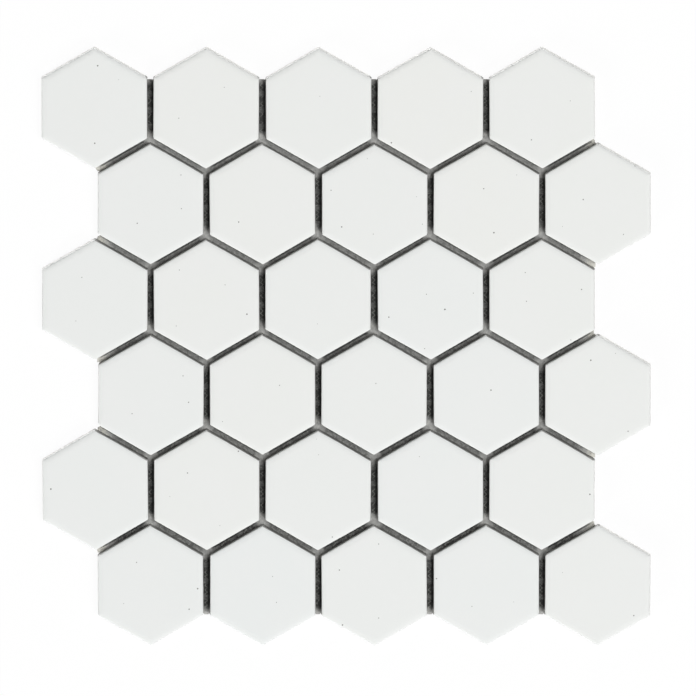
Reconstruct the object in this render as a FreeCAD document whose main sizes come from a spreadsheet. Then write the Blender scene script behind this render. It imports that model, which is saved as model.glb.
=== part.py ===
"""A sheet of hexagon floor tile: thirty porcelain hexagons face up on a glass-fibre backing net.

The hexagons stand point up in six staggered rows of five, with an open joint between neighbours.
Each is pressed in one piece: a keyed back, walls that lean in a little and a flat face whose
border falls away in a soft cushion. The net lies under them all, trimmed just inside their edges.

Millimetres. Z is up and the net's underside is at zero. The origin is the middle of the sheet,
X runs along the rows and Y up them, so row 1 has the highest Y. Odd rows sit half a tile left.
"""
import FreeCAD, Part
import math
import os

import Sketcher
from FreeCAD import Vector

# Alias, value and meaning of each size that can be set by itself.
SIZES = (
    ("across_flats", 51.6, "hexagon at its back, flat side to flat side"),
    ("tile_thickness", 6.0, "hexagon, back to face"),
    ("corner_round", 0.8, "radius of the six corners in plan"),
    ("wall_draft", 2.5, "lean of each wall, in degrees"),
    ("cushion_width", 3.2, "border of the face that falls away"),
    ("cushion_drop", 0.8, "height that the border falls"),
    ("back_bevel", 0.4, "small bevel round the back"),
    ("groove_width", 3.0, "key groove in the back"),
    ("groove_depth", 0.4, "key groove in the back"),
    ("groove_pitch", 10.0, "one key groove to the next"),
    ("back_rim", 4.5, "plain border of the back round the grooves"),
    ("joint", 2.9, "gap between two hexagons of a row"),
    ("slanted_joint", 2.7, "gap between two hexagons of neighbouring rows"),
    ("net_thickness", 0.5, "backing net with its glue"),
    ("net_inset", 0.8, "net's edge inside the outer hexagons' edges"),
    ("lay_shift", 0.2, "most that a hexagon lies off its true place along X or Y"),
    ("lay_turn", 0.5, "most that a hexagon is turned, in degrees"),
    ("columns", 5, "hexagons in a row"),
    ("rows", 6, "rows in the sheet"),
)
SIDES = 6
GROOVES = 4
# Irrational steps, which spread the small laying errors evenly and never repeat them.
STEP_X, STEP_Y, STEP_TURN = 0.618034, 0.754878, 0.569840

# Lengths that follow from the sizes, as expressions.
PITCH = "(Sizes.across_flats + Sizes.joint)"
ROW_PITCH = f"((Sizes.across_flats + Sizes.slanted_joint - {PITCH} / 4) * 2 / sqrt(3))"
TILE_CORNER = "(Sizes.across_flats / sqrt(3))"
NET_CORNER = "((Sizes.across_flats / 2 - Sizes.net_inset) * 2 / sqrt(3))"
RIM_CORNER = "((Sizes.across_flats / 2 - Sizes.back_rim) * 2 / sqrt(3))"
CUSHION_RADIUS = "((Sizes.cushion_width ^ 2 / Sizes.cushion_drop + Sizes.cushion_drop) / 2)"

doc = FreeCAD.newDocument("HexagonFloorTile")


def make_sizes():
    """Puts the driving sizes into a spreadsheet, one alias to a row."""
    sheet = doc.addObject("Spreadsheet::Sheet", "Sizes")
    for row, (alias, value, meaning) in enumerate(SIZES, start=1):
        sheet.set(f"A{row}", meaning)
        sheet.set(f"B{row}", str(value))
        sheet.setAlias(f"B{row}", alias)
    doc.recompute()
    return sheet


def number(expression):
    """Value of an expression on the sizes."""
    return float(sizes.evalExpression(expression))


def new_body(name):
    """Empty body whose label names its file."""
    body = doc.addObject("PartDesign::Body", name)
    body.Label = name
    return body


def origin_feature(body, role):
    """One of the body's own origin planes or axes."""
    return next(o for o in body.Origin.OriginFeatures if o.Role == role)


def new_sketch(body, name, plane="XY_Plane"):
    """Sketch attached to one of the body's origin planes."""
    sketch = body.newObject("Sketcher::SketchObject", name)
    sketch.AttachmentSupport = [(origin_feature(body, plane), "")]
    sketch.MapMode = "FlatFace"
    return sketch


def bind(sketch, kind, *target, to):
    """Adds one dimension to a sketch and ties it to an expression."""
    index = sketch.addConstraint(Sketcher.Constraint(kind, *target, number(to)))
    sketch.setExpression(f"Constraints[{index}]", to)


def bind_point(sketch, line, x, y):
    """Ties a line's first point to expressions for its place from the sketch's origin."""
    bind(sketch, "DistanceX", -1, 1, line, 1, to=x)
    bind(sketch, "DistanceY", -1, 1, line, 1, to=y)


def draw_run(sketch, corners, closed=True):
    """Run of lines through corners, each a pair of expressions for X and Y; returns the lines."""
    points = [Vector(number(x), number(y), 0) for x, y in corners]
    ends = points[1:] + points[:1] if closed else points[1:]
    lines = sketch.addGeometry([Part.LineSegment(*pair) for pair in zip(points, ends)])
    followers = lines[1:] + lines[:1] if closed else lines[1:]
    for line, follower in zip(lines, followers):
        sketch.addConstraint(Sketcher.Constraint("Coincident", line, 2, follower, 1))
    for line, (x, y) in zip(lines, corners):
        bind_point(sketch, line, x, y)
    return lines


def hexagon_corner(index):
    """Unit vector to a corner of a hexagon that stands point up; corner 0 is right and up."""
    turn = (index + 0.5) * math.tau / SIDES
    return Vector(math.cos(turn), math.sin(turn), 0)


def named_where(kind, elements, test):
    """Names of the edges or faces of a shape whose bounding box passes a test."""
    return [f"{kind}{n}" for n, element in enumerate(elements, start=1) if test(element.BoundBox)]


def stands_up(box):
    """Whether an edge or face has height."""
    return box.ZLength > 0.001


def lies_at_back(box):
    """Whether an edge is in the plane of the tile's back."""
    return box.ZMax < 0.001


def make_tile_form():
    """The hexagon that all the tiles share, its back at zero."""
    body = new_body("tile_form")
    outline = new_sketch(body, "tile_outline")
    corners = [hexagon_corner(index) for index in range(SIDES)]
    draw_run(outline, [(f"{c.x:.9f} * {TILE_CORNER}", f"{c.y:.9f} * {TILE_CORNER}") for c in corners])
    blank = body.newObject("PartDesign::Pad", "blank")
    blank.Profile = outline
    blank.setExpression("Length", "Sizes.tile_thickness")
    doc.recompute()

    drafted = body.newObject("PartDesign::Draft", "drafted_walls")
    drafted.Base = (blank, named_where("Face", blank.Shape.Faces, stands_up))
    drafted.NeutralPlane = (origin_feature(body, "XY_Plane"), [""])
    drafted.setExpression("Angle", "Sizes.wall_draft")
    doc.recompute()

    rounded = body.newObject("PartDesign::Fillet", "rounded_corners")
    rounded.Base = (drafted, named_where("Edge", drafted.Shape.Edges, stands_up))
    rounded.setExpression("Radius", "Sizes.corner_round")
    doc.recompute()

    bevelled = body.newObject("PartDesign::Chamfer", "bevelled_back")
    bevelled.Base = (rounded, named_where("Edge", rounded.Shape.Edges, lies_at_back))
    bevelled.setExpression("Size", "Sizes.back_bevel")
    doc.recompute()

    cut_and_compare(body, cut_cushion)
    cut_and_compare(body, cut_key_grooves)
    return body


def cut_and_compare(body, cut):
    """Makes a cut in a body and stops if it took nothing away."""
    before = body.Shape.Volume
    cut(body)
    doc.recompute()
    if not body.Shape.Volume < before - 0.001:
        raise RuntimeError(f"{cut.__name__} cut nothing")


def cut_cushion(body):
    """Rounds off the face's border along one side with an arc level with the face, six times over.

    The cutter's section is drawn across the side that faces X and runs well past both its ends.
    """
    inner, outer = "(Sizes.across_flats / 2 - Sizes.cushion_width)", "Sizes.across_flats / 2"
    face, low = "Sizes.tile_thickness", "(Sizes.tile_thickness - Sizes.cushion_drop)"
    beyond, above = f"{outer} + Sizes.cushion_width", f"{face} + Sizes.cushion_drop"
    sketch = new_sketch(body, "cushion_section", "XZ_Plane")
    lines = draw_run(
        sketch,
        [(outer, low), (beyond, low), (beyond, above), (inner, above), (inner, face)],
        closed=False,
    )
    radius = number(CUSHION_RADIUS)
    centre_of_arc = Vector(number(inner), number(face) - radius, 0)
    sweep = math.asin(number("Sizes.cushion_width") / radius)
    circle = Part.Circle(centre_of_arc, Vector(0, 0, 1), radius)
    arc = sketch.addGeometry(Part.ArcOfCircle(circle, math.pi / 2 - sweep, math.pi / 2))
    sketch.addConstraint(
        [
            Sketcher.Constraint("Coincident", lines[-1], 2, arc, 2),
            Sketcher.Constraint("Coincident", arc, 1, lines[0], 1),
        ]
    )
    bind(sketch, "DistanceX", -1, 1, arc, 3, to=inner)
    bind(sketch, "DistanceY", -1, 1, arc, 2, to=face)
    bind(sketch, "DistanceX", -1, 1, arc, 2, to=inner)

    one_side = body.newObject("PartDesign::Pocket", "cushion_of_one_side")
    one_side.Profile = sketch
    one_side.SideType = "Symmetric"
    one_side.setExpression("Length", "2 * Sizes.across_flats")
    all_sides = body.newObject("PartDesign::PolarPattern", "cushion_all_round")
    all_sides.Originals = [one_side]
    all_sides.Axis = (origin_feature(body, "Z_Axis"), [""])
    all_sides.Angle = 360
    all_sides.Occurrences = SIDES
    body.Tip = all_sides


def cut_key_grooves(body):
    """Parallel grooves up into the back, each as long as the rim lets it be."""
    sketch = new_sketch(body, "key_grooves")
    for index in range(GROOVES):
        offset = index - (GROOVES - 1) / 2
        left = f"{offset} * Sizes.groove_pitch - Sizes.groove_width / 2"
        right = f"{offset} * Sizes.groove_pitch + Sizes.groove_width / 2"
        reach = f"({abs(offset)} * Sizes.groove_pitch + Sizes.groove_width / 2)"
        top = f"{RIM_CORNER} - {reach} / sqrt(3)"
        bottom = f"-({top})"
        draw_run(sketch, [(left, bottom), (right, bottom), (right, top), (left, top)])
    pocket = body.newObject("PartDesign::Pocket", "key_grooves_cut")
    pocket.Profile = sketch
    pocket.Reversed = True
    pocket.setExpression("Length", "Sizes.groove_depth")


def centre(row, column):
    """True place of a hexagon's middle, as expressions for X and Y."""
    stagger = 0.25 if row % 2 else -0.25
    x = f"{column - (columns - 1) / 2 + stagger} * {PITCH}"
    y = f"{(rows - 1) / 2 - row} * {ROW_PITCH}"
    return x, y


def spread(index, step):
    """Factor from -1 to 1 for one of the hexagons."""
    return 2 * (index * step % 1) - 1


def lay_tile(row, column, form):
    """One hexagon on the net, a copy of the form, a little off its true place as laid by hand."""
    body = new_body(f"tile_row{row + 1}_{column + 1}")
    copy = body.newObject("PartDesign::FeatureBase", f"pressed_{row + 1}_{column + 1}")
    copy.BaseFeature = form
    body.Tip = copy
    index = row * columns + column + 1
    x, y = centre(row, column)
    body.setExpression("Placement.Base.x", f"{x} + {spread(index, STEP_X):.4f} * Sizes.lay_shift")
    body.setExpression("Placement.Base.y", f"{y} + {spread(index, STEP_Y):.4f} * Sizes.lay_shift")
    body.setExpression("Placement.Base.z", "Sizes.net_thickness")
    body.setExpression("Placement.Rotation.Angle", f"{spread(index, STEP_TURN):.4f} * Sizes.lay_turn")
    return body


def across_side(row, column, side):
    """Row and column of the next hexagon over a side; side 0 faces X, the rest go anticlockwise."""
    stagger = row % 2
    steps = ((0, 1), (-1, stagger), (-1, stagger - 1), (0, -1), (1, stagger - 1), (1, stagger))
    down, right = steps[side]
    return row + down, column + right


def outer_corners():
    """Each outer corner of the sheet as (row, column, corner), walked anticlockwise.

    Side n of a hexagon runs from corner n - 1 to corner n. The walk follows a hexagon's free sides
    and steps over to the next hexagon where a side has a neighbour.
    """
    start = (0, 0, 1)
    row, column, side = start
    corners = []
    while not corners or (row, column, side) != start:
        corners += [(row, column, side - 1)]
        next_row, next_column = across_side(row, column, (side + 1) % SIDES)
        if 0 <= next_row < rows and 0 <= next_column < columns:
            corners += [(row, column, side)]
            row, column, side = next_row, next_column, (side - 1) % SIDES
        else:
            side = (side + 1) % SIDES
    return corners


def make_net():
    """The backing net as one thin sheet, cut straight across each open end of a joint."""
    body = new_body("backing_mesh")
    sketch = new_sketch(body, "net_outline")
    points = []
    for row, column, corner in outer_corners():
        x, y = centre(row, column)
        away = hexagon_corner(corner)
        points += [(f"{x} + {away.x:.9f} * {NET_CORNER}", f"{y} + {away.y:.9f} * {NET_CORNER}")]
    draw_run(sketch, points)
    pad = body.newObject("PartDesign::Pad", "net_sheet")
    pad.Profile = sketch
    pad.setExpression("Length", "Sizes.net_thickness")
    return body


sizes = make_sizes()
columns, rows = int(sizes.columns), int(sizes.rows)

tile_form = make_tile_form()
pieces = [make_net()]
pieces += [lay_tile(row, column, tile_form) for row in range(rows) for column in range(columns)]
doc.recompute()

for item in doc.Objects:
    if {"Invalid", "Error"} & set(item.State):
        raise RuntimeError(f"{item.Label} could not be built: {item.State}")

os.makedirs("parts", exist_ok=True)
for piece in pieces:
    if piece.Shape.isNull() or not piece.Shape.isValid():
        raise RuntimeError(f"{piece.Label} has no valid shape")
    piece.Shape.exportStep(f"parts/{piece.Label}.step")
    box, volume = piece.Shape.BoundBox, piece.Shape.Volume
    print(f"{piece.Label}: {box.XLength:.2f} x {box.YLength:.2f} x {box.ZLength:.2f}, {volume:.0f} mm3")
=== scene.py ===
"""The looks of a sheet of hexagon floor tile: matt white porcelain hexagons on a woven net.

Metres, in the frame that is loaded. The hexagons stand in for the nodes tile_row1_1 to
tile_row6_5, and the rovings and the glue of the net for the node backing_mesh.
"""
import math

import bpy
import numpy as np
from bpy.props import FloatProperty, FloatVectorProperty, PointerProperty
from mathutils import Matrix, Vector


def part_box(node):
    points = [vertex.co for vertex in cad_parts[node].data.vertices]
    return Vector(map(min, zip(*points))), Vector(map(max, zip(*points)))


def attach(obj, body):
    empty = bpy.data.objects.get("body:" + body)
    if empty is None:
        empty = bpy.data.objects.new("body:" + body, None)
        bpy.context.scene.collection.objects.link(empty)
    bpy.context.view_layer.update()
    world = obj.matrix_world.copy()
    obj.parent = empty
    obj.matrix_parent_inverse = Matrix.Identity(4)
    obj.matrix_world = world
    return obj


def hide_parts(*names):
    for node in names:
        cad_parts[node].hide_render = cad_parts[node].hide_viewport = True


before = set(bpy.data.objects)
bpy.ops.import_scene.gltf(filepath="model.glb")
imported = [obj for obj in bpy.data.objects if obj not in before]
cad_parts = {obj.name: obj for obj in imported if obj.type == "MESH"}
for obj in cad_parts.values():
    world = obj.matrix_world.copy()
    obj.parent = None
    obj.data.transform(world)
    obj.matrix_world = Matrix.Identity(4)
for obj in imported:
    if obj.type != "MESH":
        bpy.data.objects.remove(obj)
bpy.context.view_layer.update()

bl_info = {
    "name": "Hexagon floor tile sheet",
    "version": (1, 0, 0),
    "blender": (4, 5, 0),
    "location": "3D View > Sidebar > Floor tile",
    "description": "Glazed porcelain hexagons on a woven glass-fibre net, with a studio round them",
    "category": "Object",
}

MM = 0.001
SECTOR = math.tau / 6
TILE_NODES = sorted(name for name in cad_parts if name.startswith("tile_"))
NET_NODE = "backing_mesh"
NET_LOW, NET_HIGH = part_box(NET_NODE)
NET_MIDDLE = (NET_LOW.z + NET_HIGH.z) / 2
TILE_LOW, TILE_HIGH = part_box(TILE_NODES[0])

# The true lattice of the hexagons: along a row, and from one row to the next.
HEXAGON_PITCH = 54.5 * MM
ROW_PITCH = 46.967 * MM

# The joints of each direction, by the turn of their normals: the attribute that marks them, the place
# of one of them, where across a joint its painted shadow starts, and how dark it is. The painted shadow
# is a dark band along one side of each joint, where a hexagon's shadow falls.
PAINTED_SHADOW_LINES = (
    ("upright_joint", HEXAGON_PITCH / 4, 0.6 * MM, 0.8),
    ("falling_joint", HEXAGON_PITCH / 4, 0.5 * MM, 0.42),
    ("rising_joint", 0.0, 0.15 * MM, 0.75),
)

# Share of painted light, lighter glue-coloured patches, on the net in the joints of each direction, at
# the
# near and the far edge: the joints that run with the light, and those up the sheet, are painted lighter.
PAINTED_LIGHT_NEAR = np.array([0.03, 0.2, 0.0])
PAINTED_LIGHT_FAR = np.array([0.05, 0.6, 0.6])

# Painted light at the net's ends in the side notches, where more light gets in: how far in from the
# sheet's sides it goes, and the width over which it fades.
PAINTED_END_LIGHT_REACH = 37 * MM
PAINTED_END_LIGHT_FADE = 8 * MM

# Height that painted shade reaches up each side of a hexagon in the joints, anticlockwise from the one
# that faces X. The heights differ by side as the shade in the joints does.
PAINTED_SHADE_HEIGHTS = np.array([5.0, 7.6, 4.8, 5.0, 5.4, 4.6]) * MM

# A pinhole's cell: there is at most one in each.
SPOT_CELL = 24 * MM

# Fraction that spreads numbered things evenly.
GOLDEN = 0.618034

# The studio, in metres: the lamps' distance from the origin and their width, and half the floor's.
LAMP_DISTANCE = 12
LAMP_WIDTH = 5.2
FLOOR_REACH = 3


def length(name, description, default):
    """Property that holds a length in metres."""
    return FloatProperty(
        name=name, description=description, default=default, precision=5, unit="LENGTH"
    )


def colour(name, description, default):
    """Property that holds a colour."""
    return FloatVectorProperty(
        name=name, description=description, default=default, size=3, min=0, max=1, subtype="COLOR"
    )


def power(name, description, default):
    """Property that holds a lamp's power in watts."""
    return FloatProperty(name=name, description=description, default=default, unit="POWER")


class HexagonSettings(bpy.types.PropertyGroup):
    """Sizes and finish of one pressed hexagon."""

    across_flats: length("Across flats", "Width of a hexagon at its back, side to side", 51.55 * MM)
    thickness: length("Thickness", "Back to face", TILE_HIGH.z - TILE_LOW.z)
    corner_round: length("Corner radius", "Radius of the six corners in plan", 0.8 * MM)
    wall_draft: FloatProperty(
        name="Wall draft", description="Lean of each wall", default=math.radians(2.5), subtype="ANGLE"
    )
    cushion_width: length("Cushion width", "Border of the face that falls away", 3.2 * MM)
    cushion_drop: length("Cushion drop", "Height that the border falls", 0.8 * MM)
    back_bevel: length("Back bevel", "Soft edge round the back", 0.4 * MM)
    groove_pitch: length("Groove pitch", "One key groove in the back to the next", 10 * MM)
    groove_width: length("Groove width", "Key groove in the back", 3 * MM)
    groove_depth: length("Groove depth", "Key groove in the back", 0.4 * MM)
    back_rim: length("Back rim", "Plain border of the back round the grooves", 4.5 * MM)
    glaze: colour("Glaze", "Matt white glaze", (0.793, 0.80, 0.790))
    biscuit: colour("Biscuit", "Bare porcelain of the lower wall and the back", (0.84, 0.83, 0.80))
    pinhole: colour("Pinhole", "Bottom of a pinhole in the glaze", (0.15, 0.147, 0.138))
    # Painted shade: the dark colour low on the walls in the joints, where shade falls.
    painted_joint_shade: colour("Grime", "Glue and dust low on the walls in the joints", (0.27, 0.267, 0.257))


class NetSettings(bpy.types.PropertyGroup):
    """Weave and finish of the backing net."""

    warp_pitch: length("Warp pitch", "One lengthwise roving to the next", HEXAGON_PITCH / 20)
    weft_pitch: length("Weft pitch", "One crosswise roving to the next", 4 * MM)
    warp_width: length("Warp width", "Flat width of a lengthwise roving", 2.15 * MM)
    weft_width: length("Weft width", "Flat width of a crosswise roving", 2.6 * MM)
    warp_shift: length("Warp shift", "Place of the warp sideways, from the sheet's middle", -0.35 * MM)
    roving_thickness: length("Roving thickness", "Flattened glass-fibre roving", 0.2 * MM)
    wave: length("Wave", "Height that a roving rises and falls by in the weave", 0.13 * MM)
    twist: length("Twist", "One turn to the next of a lengthwise roving's pale strand", 2.2 * MM)
    lay: length("Lay", "How far the net lies towards the near edge", 0.7 * MM)
    warp_fibre: colour("Warp fibre", "Lengthwise roving soaked with glue", (0.048, 0.049, 0.046))
    weft_fibre: colour("Weft fibre", "Crosswise roving soaked with glue", (0.125, 0.127, 0.122))
    # Painted light: the paler glue colour where the net is painted lit, most at the corners of the
    # joints.
    glue_painted_light: colour("Dried glue", "Glue over the net, most at the corners", (0.48, 0.48, 0.465))
    # Painted light: paler still at the net's ends in the side notches, where more light gets in.
    painted_end_light: colour("End glue", "Paler glue at the net's ends in the side notches", (0.70, 0.69, 0.63))
    # Painted shade: the near-black glue skin that fills the openings in the joints, where there is only
    # shade.
    glue: colour("Glue", "Dried glue in the openings in the joints", (0.03, 0.031, 0.03))
    milky_glue: colour("Milky glue", "Dried glue under the hexagons", (0.55, 0.54, 0.50))
    # Painted shadow: the near-black line along one side of each joint.
    seam: colour("Seam", "Dark line of glue along one side of a joint", (0.012, 0.012, 0.012))


class StudioSettings(bpy.types.PropertyGroup):
    """Camera and light."""

    tilt: FloatProperty(
        name="Tilt",
        description="Lean of the camera towards the near edge, or the far one where it is negative",
        default=math.radians(-8.3),
        subtype="ANGLE",
    )
    view_width: length("View width", "Width that the picture takes in", 339.05 * MM)
    aim_x: length("Aim X", "Place that the camera looks at", 0.78 * MM)
    aim_y: length("Aim Y", "Place that the camera looks at", -0.18 * MM)
    lens: FloatProperty(
        name="Lens",
        description="Long lens, so that the rows hardly converge",
        default=1200,
        unit="CAMERA",
    )
    sky: FloatProperty(name="Sky", description="Even light from all round", default=0.02)
    high_light: power("High light", "Soft light from high on the right", 874)
    near_light: power("Near light", "Soft light from the near right", 494)
    low_light: power("Low light", "Soft light from low on the near left", 916)
    far_light: power("Far light", "Weak soft light from low on the far side", 307)
    under_light: power("Under light", "Soft light from below, for the underside", 500)


class Signal:
    """A value or colour on its way through a material; maths on it adds Math nodes."""

    def __init__(self, finish, socket):
        self.finish = finish
        self.socket = socket

    def math(self, operation, *others):
        """Math node with this signal first."""
        sockets = dict(enumerate((self, *others)))
        return self.finish.node("ShaderNodeMath", {"operation": operation}, sockets)

    def __add__(self, other):
        return self.math("ADD", other)

    def __sub__(self, other):
        return self.math("SUBTRACT", other)

    def __rsub__(self, other):
        return (self * -1).math("ADD", other)

    def __mul__(self, other):
        return self.math("MULTIPLY", other)

    def __gt__(self, other):
        return self.math("GREATER_THAN", other)

    __radd__ = __add__
    __rmul__ = __mul__

    def rises(self, start, end):
        """0 below start and 1 above end, smooth in between."""
        values = {"Value": self, "From Min": start, "From Max": end}
        return self.finish.node("ShaderNodeMapRange", {"interpolation_type": "SMOOTHSTEP"}, values)


class Finish:
    """A node tree in the making."""

    def __init__(self, tree):
        self.tree = tree
        self.tree.nodes.clear()

    def node(self, kind, settings, values, output=0):
        """Adds one node: its settings first, then the values or signals of its sockets."""
        made = self.tree.nodes.new(kind)
        for name, value in settings.items():
            setattr(made, name, value)
        for name, value in values.items():
            if isinstance(value, Signal):
                self.tree.links.new(value.socket, made.inputs[name])
            else:
                made.inputs[name].default_value = value
        return Signal(self, made.outputs[output]) if made.outputs else made

    def place(self):
        """Object coordinates, and their three parts."""
        point = self.node("ShaderNodeTexCoord", {}, {}, "Object")
        return point, *(self.node("ShaderNodeSeparateXYZ", {}, {0: point}, part) for part in range(3))

    def stretched(self, point, x, y, z):
        """Coordinates stretched by a factor along each axis."""
        return self.node("ShaderNodeVectorMath", {"operation": "MULTIPLY"}, {0: point, 1: (x, y, z)})

    def noise(self, point, grain, detail=2.0):
        """Noise from 0 to 1 whose grain has a size in metres."""
        values = {"Vector": point, "Scale": 1 / grain, "Detail": detail}
        return self.node("ShaderNodeTexNoise", {}, values)

    def blend(self, factor, low, high):
        """Colour low where the factor is 0, high where it is 1."""
        values = {"Factor": factor, 6: low, 7: high}
        return self.node("ShaderNodeMix", {"data_type": "RGBA"}, values, 2)

    def attribute(self, name):
        """Number that a mesh holds at each vertex."""
        return self.node("ShaderNodeAttribute", {"attribute_name": name}, {}, "Fac")

    def close(self, values):
        """Principled surface with these values, wired to the output."""
        surface = self.node("ShaderNodeBsdfPrincipled", {}, values)
        self.node("ShaderNodeOutputMaterial", {}, {"Surface": surface})


def new_finish(name):
    """Material with an empty tree, and the tree's finish."""
    material = bpy.data.materials.new(name)
    material.use_nodes = True
    return material, Finish(material.node_tree)


def opaque(rgb):
    """Colour with its alpha."""
    return (*rgb, 1.0)


def tinted(rgb, *factors):
    """Colour with each channel times a factor of its own."""
    return (*(channel * factor for channel, factor in zip(rgb, factors)), 1.0)


def dimmed(rgb, factor):
    """Colour with all its channels times one factor."""
    return tinted(rgb, factor, factor, factor)


def pinholes(finish, x, y, z):
    """1 in the pinholes of the faces. A cell's chance decides whether it has one, and how wide."""
    flat = finish.node("ShaderNodeCombineXYZ", {}, {"X": x, "Y": y})
    settings = {"voronoi_dimensions": "2D"}
    values = {"Vector": flat, "Scale": 1 / SPOT_CELL}
    away = finish.node("ShaderNodeTexVoronoi", settings, values, "Distance") * SPOT_CELL
    draw = finish.node("ShaderNodeTexVoronoi", settings, values, "Color")
    chance = finish.node("ShaderNodeSeparateColor", {}, {0: draw}, 0)
    radius = (chance - 0.18) * 0.4 * MM
    on_face = z.rises(5.9 * MM, 6.1 * MM)
    return (1 - (away - radius).rises(-0.06 * MM, 0.14 * MM)) * (chance > 0.38) * on_face


def porcelain_finish(hexagon):
    """Matt white glaze with clouds and pinholes, bare biscuit below it, and painted shade low in the
    joints.
    """
    material, finish = new_finish("porcelain")
    point, x, y, z = finish.place()
    clouds = finish.noise(point, 26 * MM)
    mottle = finish.noise(point, 3.5 * MM)
    grain = finish.noise(point, 0.35 * MM)

    glaze_line = z + (finish.noise(point, 7 * MM) - 0.5) * 1.2 * MM
    glazed = glaze_line.rises(3.2 * MM, 3.7 * MM)

    pit = pinholes(finish, x, y, z)

    white = opaque(hexagon.glaze)
    cool = tinted(hexagon.glaze, 0.972, 0.99, 0.992)
    warm = tinted(hexagon.glaze, 0.996, 0.996, 0.975)
    # The tint is partly painted light: cooler low on the sheet and warmer up it, mixed with a random
    # tone.
    glaze = finish.blend(finish.attribute("tone_and_painted_light"), cool, warm)
    glaze = finish.blend(clouds.rises(0.3, 0.75) * 0.5, glaze, white)
    glaze = finish.blend((mottle - 0.5) * 0.12 + 0.06, glaze, dimmed(hexagon.glaze, 0.9))
    glaze = finish.blend(pit, glaze, opaque(hexagon.pinhole))

    speckle = finish.noise(point, 0.8 * MM).rises(0.62, 0.72) * 0.25
    biscuit = finish.blend(speckle, opaque(hexagon.biscuit), tinted(hexagon.biscuit, 0.86, 0.84, 0.8))
    wall = finish.blend(glazed, biscuit, glaze)
    # Painted shade: darker low on the walls in the joints.
    painted_wall_shade = (finish.attribute("painted_shade_height") - z).rises(0, 1.6 * MM) * (0.7 + mottle * 0.4)

    smooth = grain * 0.25 + mottle * 0.6 - pit * 2.5
    rough = finish.noise(point, 0.5 * MM) * 1.6
    height = smooth * glazed + rough * (1 - glazed)
    relief = {"Strength": 0.35, "Distance": 0.06 * MM, "Height": height}
    finish.close(
        {
            "Base Color": finish.blend(painted_wall_shade, wall, opaque(hexagon.painted_joint_shade)),
            "Roughness": 0.72 - glazed * 0.2 + (clouds - 0.5) * 0.08,
            "Specular IOR Level": 0.25,
            "Normal": finish.node("ShaderNodeBump", {}, relief),
        }
    )
    return material


def painted_light_over(finish, bare, net):
    """Bare colour with painted light over it in uneven glue-coloured patches, and painted shadows over
    that.

    The mesh's painted light share says how much lighter glue colour there is, and where it is well over
    1 the colour is paler still. A painted shadow runs along one side of each joint. The joints of one
    direction lie on lines half a pitch apart, so wrapping the distance along their normal gives the
    place across a joint, which is zero in its middle.
    """
    point, x, y, _ = finish.place()
    patches = finish.noise(point, 1.7 * MM)
    share = finish.attribute("painted_light_share") * (0.4 + patches * 1.2)
    glue = finish.blend(share.rises(1.0, 1.6), opaque(net.glue_painted_light), opaque(net.painted_end_light))
    shade = finish.blend(share.math("MINIMUM", 1), bare, glue)
    quarter = HEXAGON_PITCH / 4
    soft = 0.15 * MM
    up = y * (HEXAGON_PITCH * math.sin(SECTOR) / ROW_PITCH)
    for number, (name, offset, start, strength) in enumerate(PAINTED_SHADOW_LINES):
        out = x * math.cos(number * SECTOR) + up * math.sin(number * SECTOR)
        across = (out - offset).math("WRAP", quarter, -quarter)
        # Painted shadow along one side of the joint.
        seam = across.rises(start - soft, start + soft) * finish.attribute(name) * strength
        shade = finish.blend(seam, shade, opaque(net.seam))
    return shade


def pale_strand(finish, net):
    """1 on the strand that winds from side to side of a lengthwise roving, where it is in view.

    Across the net the strand's middle is a sine of the place along it, and noise makes its turns
    uneven and hides it here and there.
    """
    point, x, y, _ = finish.place()
    half_pitch = net.warp_pitch / 2
    across = (x - net.warp_shift).math("WRAP", half_pitch, -half_pitch)
    uneven = finish.noise(point, 5 * MM) * 2 * MM
    turned = (y + uneven) * (math.tau / net.twist)
    away = (across - turned.math("SINE") * 0.5 * MM).math("ABSOLUTE")
    in_view = finish.noise(point, 2.4 * MM).rises(0.35, 0.55)
    return (1 - away.rises(0.2 * MM, 0.45 * MM)) * in_view


def roving_finish(name, net, lengthwise):
    """Flat glass-fibre roving: filaments along it, a pale strand or pale flecks, and painted light and
    shadow over them.
    """
    material, finish = new_finish(name)
    point, *_ = finish.place()
    shade = net.warp_fibre if lengthwise else net.weft_fibre
    strands = finish.stretched(point, *((1, 0.06, 0) if lengthwise else (0.06, 1, 0)))
    filaments = finish.noise(strands, 0.16 * MM, 3.0)
    bundles = finish.noise(strands, 0.5 * MM, 1.0)
    fibre = finish.blend(filaments.rises(0.3, 0.7), dimmed(shade, 0.6), dimmed(shade, 1.3))
    fibre = finish.blend(bundles.rises(0.55, 0.7) * 0.35, fibre, dimmed(shade, 0.45))
    if lengthwise:
        fibre = finish.blend(pale_strand(finish, net), fibre, dimmed(shade, 4.2))
    else:
        flecks = finish.noise(point, 0.75 * MM).rises(0.5, 0.66) * 0.6
        fibre = finish.blend(flecks, fibre, dimmed(shade, 2.4))
    relief = {"Strength": 0.7, "Distance": 0.05 * MM, "Height": filaments + bundles}
    finish.close(
        {
            "Base Color": painted_light_over(finish, fibre, net),
            "Roughness": 0.75 - bundles * 0.15,
            "Specular IOR Level": 0.25,
            "Normal": finish.node("ShaderNodeBump", {}, relief),
        }
    )
    return material


def glue_finish(net):
    """Dried glue skin: milky under a hexagon, and near black in the joints as painted shade."""
    material, finish = new_finish("glue_painted_light")
    point, *_ = finish.place()
    wrinkles = finish.noise(point, 1.2 * MM)
    # Painted shade: the skin is near black where it is in a joint.
    shade = finish.blend(finish.attribute("in_joint"), opaque(net.milky_glue), opaque(net.glue))
    relief = {"Strength": 0.5, "Distance": 0.08 * MM, "Height": wrinkles}
    finish.close(
        {
            "Base Color": painted_light_over(finish, shade, net),
            "Roughness": 0.5 + wrinkles * 0.2,
            "Specular IOR Level": 0.2,
            "Normal": finish.node("ShaderNodeBump", {}, relief),
        }
    )
    return material


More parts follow.
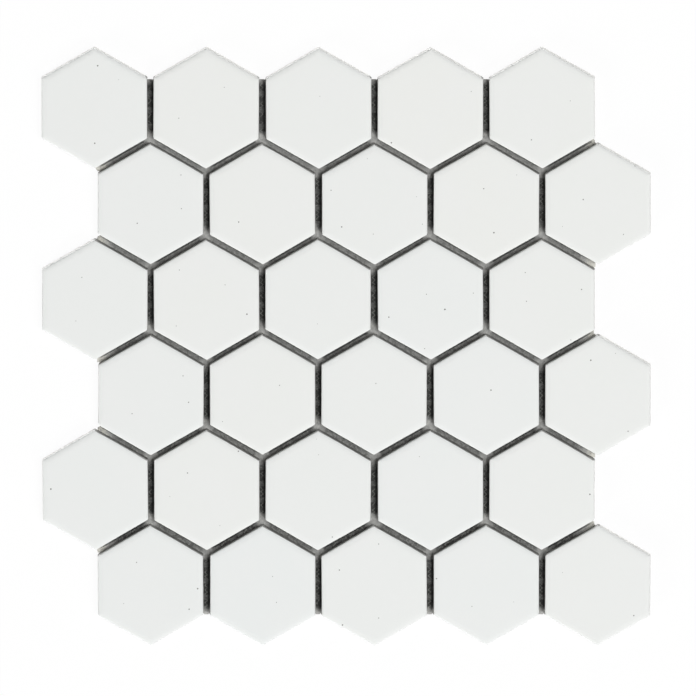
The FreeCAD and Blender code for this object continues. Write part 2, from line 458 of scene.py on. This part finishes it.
def new_piece(name, vertices, faces, material, smooth_under=math.radians(40)):
    """Mesh object at the origin from an array of points and arrays of faces."""
    mesh = bpy.data.meshes.new(name)
    mesh.from_pydata(vertices, [], [face for block in faces for face in block.tolist()])
    mesh.shade_smooth()
    mesh.set_sharp_from_angle(angle=smooth_under)
    mesh.materials.append(material)
    piece = bpy.data.objects.new(name, mesh)
    bpy.context.collection.objects.link(piece)
    return piece


def set_attribute(piece, name, values):
    """Stores a number at each vertex."""
    layer = piece.data.attributes.new(name, "FLOAT", "POINT")
    layer.data.foreach_set("value", np.asarray(values, np.float32))


def points_of(mesh):
    """The mesh's vertices as an array of points."""
    flat = np.empty(len(mesh.vertices) * 3)
    mesh.vertices.foreach_get("co", flat)
    return flat.reshape(-1, 3)


def reach(angle, apothem, radius):
    """Distance from a hexagon's middle to its rounded outline in each direction.

    A straight side is at apothem / cos(off), where off is the angle from the side's normal. Round a
    corner the outline is an arc whose middle lies on the line to the corner, at
    m = (apothem - radius) / cos(30 degrees). At an angle a from that line the arc is at
    m cos(a) + sqrt(radius^2 - (m sin(a))^2).
    """
    off = np.abs((angle + SECTOR / 2) % SECTOR - SECTOR / 2)
    middle = (apothem - radius) / math.cos(SECTOR / 2)
    lean = SECTOR / 2 - off
    arc = middle * np.cos(lean) + np.sqrt(np.maximum(radius**2 - (middle * np.sin(lean)) ** 2, 0))
    on_side = apothem * np.tan(off) < (apothem - radius) * math.tan(SECTOR / 2)
    return np.where(on_side, apothem / np.cos(off), arc)


def mirrored(half):
    """Rising values from 0 up, with the same values below 0 before them."""
    return np.concatenate([-half[:0:-1], half])


def keyed_back(s):
    """Grid of points over a hexagon's back, with the key grooves pressed up into it.

    Column x runs over the width and row y over the height at that x, which is c - |x| / sqrt(3)
    for a corner at c. A groove's edges are columns and its ends are rows. Its depth is the product
    of a ramp from its edge and a ramp from its end.
    """
    half_width = s.across_flats / 2 - s.back_bevel
    middles = np.array([0.5, 1.5]) * s.groove_pitch
    slope = 0.2 * MM
    edges = np.sort(np.concatenate([middles - s.groove_width / 2, middles + s.groove_width / 2]))
    floors = edges + slope * np.array([1, -1, 1, -1])
    near_corner = np.array([0, 0.1, 0.25, 0.5, 0.9, 1.6]) * MM
    between = np.array([2.5, 5, 8, 10, 12, 15, 18, 20, 22]) * MM
    columns = np.concatenate([near_corner, between, edges, floors, half_width - near_corner])
    x = mirrored(np.sort(columns))

    rim_corner = (s.across_flats / 2 - s.back_rim) / math.cos(SECTOR / 2)
    stops = np.array([0, *edges, half_width])
    ends = rim_corner - stops[[2, 2, 2, 4, 4, 5]] / math.sqrt(3)
    rim = np.interp(np.abs(x), stops, ends)
    top = half_width / math.cos(SECTOR / 2) - np.abs(x) / math.sqrt(3)
    inner = np.array([0, 0.3, 0.6, 0.85])[:, None] * rim
    outer = rim + np.array([0, 0.4, 0.75, 0.92, 0.98, 1])[:, None] * (top - rim)
    rows = np.concatenate([inner, [rim - slope], outer])
    y = np.concatenate([-rows[:0:-1], rows])

    ramp = np.interp(np.abs(x), np.sort(np.concatenate([edges, floors])), [0, 1, 1, 0, 0, 1, 1, 0])
    depth = s.groove_depth * ramp * (np.abs(y) < rim - slope / 2)
    x = np.broadcast_to(x, y.shape)
    angle, distance = np.arctan2(y, x), np.hypot(x, y)
    limit = reach(angle, half_width, s.corner_round)
    shrink = np.minimum(1, limit / np.maximum(distance, MM))
    return np.stack([x * shrink, y * shrink, depth], axis=-1)


def rings(s):
    """Inset, height and corner radius of each ring round a hexagon, from its back edge to its face.

    The back edge is a quarter turn, the wall leans in by its draft, and the cushion is a quarter of
    an ellipse that leaves the wall upright and meets the face level. The corners widen inwards.
    """
    lean = math.tan(s.wall_draft)
    shoulder = s.thickness - s.cushion_drop
    turn = np.radians([30, 60, 90])
    bevel = (s.back_bevel * (1 - np.sin(turn)), s.back_bevel * (1 - np.cos(turn)))
    wall_height = np.linspace(s.back_bevel, shoulder, 6)[1:-1]
    wall = (wall_height * lean, wall_height)
    turn = np.radians(np.linspace(0, 90, 13))
    start = shoulder * lean
    cushion = (start + s.cushion_width * (1 - np.cos(turn)), shoulder + s.cushion_drop * np.sin(turn))
    flat = s.across_flats / 2 - np.array([20, 16, 11, 6]) * MM
    face = (flat, np.full_like(flat, s.thickness))
    inset, height = np.concatenate([bevel, wall, cushion, face], axis=1)
    return inset, height, s.corner_round + 0.5 * np.minimum(inset, s.cushion_width)


def loop_round(grid):
    """The numbers on a grid's border, anticlockwise from its first one."""
    return np.concatenate([grid[0], grid[1:, -1], grid[-1, -2::-1], grid[-2:0:-1, 0]])


def hexagon_mesh(s):
    """Points and faces of one closed hexagon about its own middle, back at zero."""
    back = keyed_back(s)
    grid = np.arange(back.shape[0] * back.shape[1]).reshape(back.shape[:2])
    downward = np.stack([grid[:-1, :-1], grid[1:, :-1], grid[1:, 1:], grid[:-1, 1:]], axis=-1)

    border = loop_round(grid)
    points = back.reshape(-1, 3)
    angle = np.arctan2(points[border, 1], points[border, 0])
    inset, height, radius = (values[:, None] for values in rings(s))
    out = reach(angle, s.across_flats / 2 - inset, radius)
    height = np.broadcast_to(height, out.shape)
    round_it = np.stack([out * np.cos(angle), out * np.sin(angle), height], axis=-1)
    first = len(points)
    loops = np.concatenate([[border], first + np.arange(out.size).reshape(out.shape)])
    onward = np.roll(loops, -1, axis=1)
    walls = np.stack([loops[:-1], onward[:-1], onward[1:], loops[1:]], axis=-1)
    middle = first + out.size
    fan = np.stack([loops[-1], onward[-1], np.full_like(border, middle)], axis=-1)
    vertices = np.concatenate([points, round_it.reshape(-1, 3), [[0, 0, s.thickness]]])
    return vertices, (downward.reshape(-1, 4), walls.reshape(-1, 4), fan)


def lay_of(node):
    """Middle, height and turn of the hexagon that a node of the frame holds.

    A hexagon's corners keep their place when they are turned by a sixth, so the sixth powers of the
    corners' directions, as complex numbers, all point the same way: six times the turn.
    """
    low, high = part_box(node)
    middle = (low + high) / 2
    points = points_of(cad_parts[node].data)
    arms = (points[:, 0] - middle.x) + 1j * (points[:, 1] - middle.y)
    corners = arms[np.abs(arms) > 0.97 * np.abs(arms).max()]
    turn = np.angle(-np.mean((corners / np.abs(corners)) ** 6)) / 6
    return middle, low.z, turn


def pressed(vertices, thickness, number):
    """Sinks the face by up to 0.04 mm in slow waves of its own, as a press leaves it."""
    x, y, z = vertices.T
    phase = number * 2.4
    along_x = np.cos(x * math.tau / (37 * MM) + phase)
    along_y = np.cos(y * math.tau / (43 * MM) + phase * 1.7)
    near_face = np.clip(z / thickness, 0, 1) ** 8
    return np.stack([x, y, z - near_face * 0.02 * MM * (1 - along_x * along_y)], axis=1)


def painted_shade_height(points, middle):
    """Height that painted shade reaches up a hexagon's side, and zero where it has no other beside it.

    Beside another hexagon the distances to the nearest two middles differ by little more than the
    width of a joint.
    """
    x, y, _ = points.T
    middles = np.array([lay_of(node)[0][:2] for node in TILE_NODES])
    away = np.sort(np.hypot(x - middles[:, :1], y - middles[:, 1:]), axis=0)
    beside = np.clip(2.6 - (away[1] - away[0]) / (2 * MM), 0, 1)
    side = np.round(np.arctan2(y - middle.y, x - middle.x) / SECTOR).astype(int) % 6
    return beside * PAINTED_SHADE_HEIGHTS[side]


class MakeHexagons(bpy.types.Operator):
    """Makes the glazed hexagons where the frame has them"""

    bl_idname = "object.floor_tile_hexagons"
    bl_label = "Hexagons"

    def execute(self, context):
        s = context.scene.floor_tile_hexagon
        finish = porcelain_finish(s)
        vertices, faces = hexagon_mesh(s)
        span = NET_HIGH.y - NET_LOW.y
        for number, node in enumerate(TILE_NODES):
            middle, bottom, turn = lay_of(node)
            x, y, z = pressed(vertices, s.thickness, number).T
            cos, sin = math.cos(turn), math.sin(turn)
            across = x * cos - y * sin + middle.x
            up = x * sin + y * cos + middle.y
            placed = np.stack([across, up, z + bottom], axis=1)
            piece = new_piece(node.replace("tile", "hexagon"), placed, faces, finish)
            own = number * GOLDEN % 1
            # Half a random tone of its own, half painted light that warms the hexagons up the sheet.
            tone_and_painted_light = (own + (middle.y - NET_LOW.y) / span) / 2
            set_attribute(piece, "tone_and_painted_light", np.full(len(placed), tone_and_painted_light))
            set_attribute(piece, "painted_shade_height", painted_shade_height(placed, middle))
            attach(piece, "root")
            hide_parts(node)
        return {"FINISHED"}


def outline_and_area(node):
    """The outline of a flat node, and the area inside it.

    The outline is an array of pieces, each from one point to another. A side wall's triangle that
    stands on the underside has exactly two corners there, and they are one piece of the outline.
    The underside's own triangles have all three, and half the cross product of two sides is the
    area of each.
    """
    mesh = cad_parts[node].data
    mesh.calc_loop_triangles()
    triangles = np.empty(len(mesh.loop_triangles) * 3, np.int32)
    mesh.loop_triangles.foreach_get("vertices", triangles)
    points = points_of(mesh)[triangles].reshape(-1, 3, 3)
    low = points[:, :, 2] < points[:, :, 2].mean()
    standing = low.sum(axis=1) == 2
    outline = points[standing][low[standing]].reshape(-1, 2, 3)[:, :, :2]
    a, b, c = points[low.all(axis=1)][:, :, :2].transpose(1, 2, 0)
    area = np.abs((b - a)[0] * (c - a)[1] - (b - a)[1] * (c - a)[0]).sum() / 2
    return outline, area


def inside(outline, x, y):
    """Whether points are inside: a line to the right then crosses the outline an odd number of times."""
    (x0, y0), (x1, y1) = outline[:, 0].T, outline[:, 1].T
    x, y = x[..., None], y[..., None]
    spans = (y0 > y) != (y1 > y)
    rise = np.where(y1 == y0, 1, y1 - y0)
    beyond = x0 + (y - y0) * (x1 - x0) / rise > x
    return (spans & beyond).sum(axis=-1) % 2 == 1


def runs_inside(outline, at, half_width, low, high, across):
    """Stretches where a roving is in the net over its whole width, as pairs of start and end."""
    s = np.arange(low, high, 0.2 * MM)
    edges = at + np.array([-1, 0, 1])[:, None] * half_width
    along, side = np.broadcast_arrays(s, edges)
    there = inside(outline, along, side) if across else inside(outline, side, along)
    steps = np.diff(np.concatenate([[0], there.all(axis=0), [0]]).astype(int))
    starts, ends = np.where(steps > 0)[0], np.where(steps < 0)[0]
    return list(zip(s[starts], s[ends - 1]))


# Cross-section of a roving, as shares of its half width and half thickness, anticlockwise.
SECTION = np.array([(1, 0), (0.6, 1), (-0.6, 1), (-1, 0), (-0.6, -1), (0.6, -1)])


def stops_between(start, end, beat, shift):
    """The ends of a roving, and each half beat of the weave that is well between them."""
    first = math.ceil((start - shift) / beat * 2)
    last = math.floor((end - shift) / beat * 2)
    stops = np.arange(first, last + 1) * beat / 2 + shift
    apart = (stops > start + 0.1 * MM) & (stops < end - 0.1 * MM)
    return np.concatenate([[start], stops[apart], [end]])


def ribbon(s, middle, height, half_width, half_thickness):
    """Points (along, across, height) and faces of one flat roving.

    The section is carried along the stops s. At each of them middle gives its place across, and
    height its height.
    """
    across = middle[:, None] + SECTION[:, 0] * half_width
    height = height[:, None] + SECTION[:, 1] * half_thickness
    points = np.stack([np.broadcast_to(s[:, None], across.shape), across, height], axis=-1)
    count = len(SECTION)
    ring = np.arange(len(s) * count).reshape(-1, count)
    onward = np.roll(ring, -1, axis=1)
    sides = np.stack([ring[:-1], ring[1:], onward[1:], onward[:-1]], axis=-1).reshape(-1, 4)
    caps = np.stack([ring[0], ring[-1][::-1]])
    return points.reshape(-1, 3), sides, caps


def weave(name, net, outline, across):
    """All the rovings of one direction as a single piece.

    Roving i is at i pitches and the shift, and strays a little to its sides. Its height is the middle
    of the net plus the wave times cos(pi s / beat), with the sign turned for every other roving, so it
    goes over one crossing roving and under the next.
    """
    pitch, beat = (net.weft_pitch, net.warp_pitch) if across else (net.warp_pitch, net.weft_pitch)
    width = net.weft_width if across else net.warp_width
    shift, beat_shift = (0, net.warp_shift) if across else (net.warp_shift, 0)
    low, high = (NET_LOW.y, NET_HIGH.y) if across else (NET_LOW.x, NET_HIGH.x)
    ends = (NET_LOW.x, NET_HIGH.x) if across else (NET_LOW.y, NET_HIGH.y)
    points, sides, caps, count = [], [], [], 0
    for number in range(math.floor(low / pitch), math.ceil(high / pitch) + 1):
        at = number * pitch + shift
        sign = (-1) ** number * (1 if across else -1)
        half_width = width / 2 * (1 + 0.06 * math.sin(number * 2.7))
        for start, end in runs_inside(outline, at, half_width, *ends, across):
            if end - start < beat:
                continue
            s = stops_between(start, end, beat, beat_shift)
            middle = at + 0.07 * MM * np.sin(s / (19 * MM) + number * 1.9)
            height = NET_MIDDLE + sign * net.wave * np.cos(math.pi * (s - beat_shift) / beat)
            made, made_sides, made_caps = ribbon(s, middle, height, half_width, net.roving_thickness / 2)
            points.append(made)
            sides.append(made_sides + count)
            caps.append(made_caps + count)
            count += len(made)
    s, side, height = np.concatenate(points).T
    vertices = np.stack([s, side, height] if across else [side, s, height], axis=1)
    faces = [np.concatenate(sides), np.concatenate(caps)]
    if across:
        faces = [block[:, ::-1] for block in faces]
    return new_piece(name, vertices, faces, roving_finish(name, net, lengthwise=not across))


def nearest_side(x, y, apothem):
    """How far each point is outside the nearest hexagon, past which sides, and how far from a corner.

    A point's distance along each of the three pairs of sides' normals is taken. The largest less
    the apothem is how far outside it is, and negative inside. The largest less the second largest
    is zero on the line from the hexagon's middle through a corner and grows away from it.
    """
    normals = np.arange(3) * SECTOR
    outside, side, along = np.full(x.shape, np.inf), np.zeros(x.shape, int), np.zeros(x.shape)
    for node in TILE_NODES:
        middle, _, turn = lay_of(node)
        dx, dy = x - middle.x, y - middle.y
        reaches = np.stack([np.abs(dx * math.cos(n + turn) + dy * math.sin(n + turn)) for n in normals])
        _, second, largest = np.sort(reaches, axis=0)
        nearer = largest - apothem < outside
        outside = np.where(nearer, largest - apothem, outside)
        side = np.where(nearer, reaches.argmax(axis=0), side)
        along = np.where(nearer, largest - second, along)
    return outside, side, along


def mark_painted_light(piece, apothem):
    """Marks the joints on a piece of the net: the painted light over it, and each direction's painted
    shadows.

    The share of painted light grows up the sheet, as the light does. It is higher at the corners of the
    hexagons, and highest at the open ends of the joints, in the notches at the sides, where more light
    gets in. The painted shadows stop short of the corners.
    """
    x, y, _ = points_of(piece.data).T
    outside, side, along = nearest_side(x, y, apothem)
    in_joint = np.clip(outside / MM + 2.5, 0, 1)
    at_corner = in_joint * np.clip(2 - along / (1.8 * MM), 0, 1)
    from_side = np.minimum(x - NET_LOW.x, NET_HIGH.x - x)
    at_end = np.clip((PAINTED_END_LIGHT_REACH - from_side) / PAINTED_END_LIGHT_FADE, 0, 1)
    up = (y - NET_LOW.y) / (NET_HIGH.y - NET_LOW.y)
    share = PAINTED_LIGHT_NEAR[side] * (1 - up) + PAINTED_LIGHT_FAR[side] * up
    # Painted light: more at the corners of the joints and most at the ends in the notches.
    share = np.maximum.reduce([share, 0.85 * at_corner, 1.6 * at_end])
    set_attribute(piece, "painted_light_share", in_joint * share)
    for number, (name, *_) in enumerate(PAINTED_SHADOW_LINES):
        set_attribute(piece, name, (side == number) * in_joint * (1 - at_corner))


def glue_film(net, outline, apothem):
    """Thin skin of glue in the net's openings, one square of the grid for each opening that has it.

    Every opening in a joint is closed, and the skin is dark there as painted shade. Under the hexagons
    an opening is closed where a slow wave of x and y is high, as glue is spread unevenly.
    """
    step_x, step_y = net.warp_pitch / 3, net.weft_pitch / 4
    x = np.arange(math.floor(NET_LOW.x / step_x) - 1, math.ceil(NET_HIGH.x / step_x) + 2)
    y = np.arange(math.floor(NET_LOW.y / step_y) - 1, math.ceil(NET_HIGH.y / step_y) + 2)
    knots_x, knots_y = np.meshgrid(x * step_x + net.warp_shift, y * step_y)
    mid_x, mid_y = knots_x[:-1, :-1] + step_x / 2, knots_y[:-1, :-1] + step_y / 2
    column = np.floor((mid_x - net.warp_shift) / net.warp_pitch)
    open_x = (column + 0.5) * net.warp_pitch + net.warp_shift
    open_y = (np.floor(mid_y / net.weft_pitch) + 0.5) * net.weft_pitch
    outside, _, _ = nearest_side(mid_x, mid_y, apothem)
    grid = np.arange(knots_x.size).reshape(knots_x.shape)
    corners = np.stack([grid[:-1, :-1], grid[:-1, 1:], grid[1:, 1:], grid[1:, :-1]], axis=-1)
    in_net = inside(outline, knots_x, knots_y).ravel()[corners].all(axis=-1)
    spread = np.sin(open_x / (5.1 * MM)) * np.sin(open_y / (6.7 * MM))
    spread += np.sin(open_x / (2.3 * MM) + open_y) / 2
    has_glue = in_net & ((outside > -1.2 * MM) | (spread > 0.55))
    used, faces = np.unique(corners[has_glue], return_inverse=True)
    flat = np.stack([knots_x.ravel()[used], knots_y.ravel()[used]], axis=1)
    points = np.concatenate([flat, np.full((len(used), 1), NET_MIDDLE)], axis=1)
    piece = new_piece("net_glue", points, [faces.reshape(-1, 4)], glue_finish(net))
    outside, _, _ = nearest_side(*flat.T, apothem)
    set_attribute(piece, "in_joint", np.clip(outside / MM + 3, 0, 1))
    solid = piece.modifiers.new("film_thickness", "SOLIDIFY")
    solid.thickness = 0.05 * MM
    solid.offset = 0
    return piece


class WeaveNet(bpy.types.Operator):
    """Weaves the backing net from flat rovings and closes its openings with glue"""

    bl_idname = "object.floor_tile_net"
    bl_label = "Backing net"

    def execute(self, context):
        net = context.scene.floor_tile_net
        outline, area = outline_and_area(NET_NODE)
        outline = outline - np.array([0, net.lay])
        warp = weave("net_warp", net, outline, across=False)
        weft = weave("net_weft", net, outline, across=True)
        apothem = context.scene.floor_tile_hexagon.across_flats / 2
        glue = glue_film(net, outline, apothem)
        for piece in (warp, weft, glue):
            mark_painted_light(piece, apothem)
            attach(piece, "root")
            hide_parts(NET_NODE)
        return {"FINISHED"}


def stage_finish():
    """Pale floor that keeps a little of the sheet's shadow, and is clear from below."""
    material, finish = new_finish("pale_floor")
    plain = finish.node("ShaderNodeBsdfDiffuse", {}, {"Color": (0.93, 0.93, 0.93, 1)})
    glow = finish.node("ShaderNodeEmission", {}, {"Color": (1, 1, 1, 1), "Strength": 1})
    seen = seen_directly(finish)
    surface = finish.node("ShaderNodeMixShader", {}, {0: seen * 0.94, 1: plain, 2: glow})
    below = finish.node("ShaderNodeNewGeometry", {}, {}, "Backfacing")
    clear = finish.node("ShaderNodeBsdfTransparent", {}, {})
    surface = finish.node("ShaderNodeMixShader", {}, {0: below, 1: surface, 2: clear})
    finish.node("ShaderNodeOutputMaterial", {}, {"Surface": surface})
    return material


def seen_directly(finish):
    """1 for what the camera, a reflection or clear glass shows, and 0 for what only lights."""
    kinds = ("Is Camera Ray", "Is Glossy Ray", "Is Transmission Ray")
    camera, glossy, through = (finish.node("ShaderNodeLightPath", {}, {}, kind) for kind in kinds)
    return camera.math("MAXIMUM", glossy).math("MAXIMUM", through)


def softbox(name, azimuth, elevation, watts):
    """Round area lamp that looks at the origin from an azimuth (0 is X) and a height, in degrees."""
    lamp = bpy.data.lights.new(name, "AREA")
    lamp.shape = "DISK"
    lamp.size = LAMP_WIDTH
    lamp.energy = watts
    a, e = math.radians(azimuth), math.radians(elevation)
    toward = Vector((math.cos(a) * math.cos(e), math.sin(a) * math.cos(e), math.sin(e)))
    holder = bpy.data.objects.new(name, lamp)
    holder.location = toward * LAMP_DISTANCE
    holder.rotation_euler = toward.to_track_quat("Z", "Y").to_euler()
    bpy.context.collection.objects.link(holder)


class SetStage(bpy.types.Operator):
    """Sets up the camera, the light, the floor and the white surroundings"""

    bl_idname = "scene.floor_tile_stage"
    bl_label = "Stage"

    def execute(self, context):
        scene, s = context.scene, context.scene.floor_tile_studio
        scene.view_settings.view_transform = "Standard"
        corners = np.array([(-1, -1, 0), (1, -1, 0), (1, 1, 0), (-1, 1, 0)]) * FLOOR_REACH
        floor = new_piece("floor", corners, [np.array([[0, 1, 2, 3]])], stage_finish())
        floor.visible_shadow = False

        world = bpy.data.worlds.new("white_room")
        world.use_nodes = True
        scene.world = world
        finish = Finish(world.node_tree)
        lit = finish.node("ShaderNodeBackground", {}, {"Color": (1, 1, 1, 1), "Strength": s.sky})
        white = finish.node("ShaderNodeBackground", {}, {"Color": (1, 1, 1, 1), "Strength": 1})
        both = finish.node("ShaderNodeMixShader", {}, {0: seen_directly(finish), 1: lit, 2: white})
        finish.node("ShaderNodeOutputWorld", {}, {"Surface": both})

        softbox("high_light", 0, 68, s.high_light)
        softbox("near_light", 315, 38, s.near_light)
        softbox("low_light", 225, 20, s.low_light)
        softbox("far_light", 90, 15, s.far_light)
        softbox("under_light", 120, -75, s.under_light)

        lens = bpy.data.cameras.new("long_lens")
        lens.lens = s.lens
        camera = bpy.data.objects.new("camera", lens)
        distance = s.view_width * s.lens / lens.sensor_width
        back = Vector((0, -math.sin(s.tilt), math.cos(s.tilt)))
        aim = Vector((s.aim_x, s.aim_y, TILE_HIGH.z))
        camera.location = aim + back * distance
        camera.rotation_euler = (s.tilt, 0, 0)
        lens.clip_end = distance * 2
        context.collection.objects.link(camera)
        scene.camera = camera
        return {"FINISHED"}


class TilePanel(bpy.types.Panel):
    """Lists the sheet's pieces and their settings"""

    bl_idname = "VIEW3D_PT_floor_tile"
    bl_label = "Floor tile"
    bl_space_type = "VIEW_3D"
    bl_region_type = "UI"
    bl_category = "Floor tile"

    def draw(self, context):
        for operator, group in STEPS:
            column = self.layout.column()
            column.operator(operator.bl_idname)
            settings = getattr(context.scene, group)
            for name in settings.bl_rna.properties.keys():
                if name not in ("rna_type", "name"):
                    column.prop(settings, name)


# Each step's operator and the scene property that holds its settings.
STEPS = (
    (MakeHexagons, "floor_tile_hexagon"),
    (WeaveNet, "floor_tile_net"),
    (SetStage, "floor_tile_studio"),
)
GROUPS = (HexagonSettings, NetSettings, StudioSettings)


def register():
    """Adds the settings, the operators and the panel."""
    for group, (_, name) in zip(GROUPS, STEPS):
        bpy.utils.register_class(group)
        setattr(bpy.types.Scene, name, PointerProperty(type=group))
    for operator, _ in STEPS:
        bpy.utils.register_class(operator)
    bpy.utils.register_class(TilePanel)


def unregister():
    """Takes them away again."""
    bpy.utils.unregister_class(TilePanel)
    for operator, name in reversed(STEPS):
        bpy.utils.unregister_class(operator)
        delattr(bpy.types.Scene, name)
    for group in reversed(GROUPS):
        bpy.utils.unregister_class(group)


def main():
    """Makes the whole scene."""
    register()
    bpy.ops.object.floor_tile_hexagons()
    bpy.ops.object.floor_tile_net()
    bpy.ops.scene.floor_tile_stage()


if __name__ == "__main__":
    main()
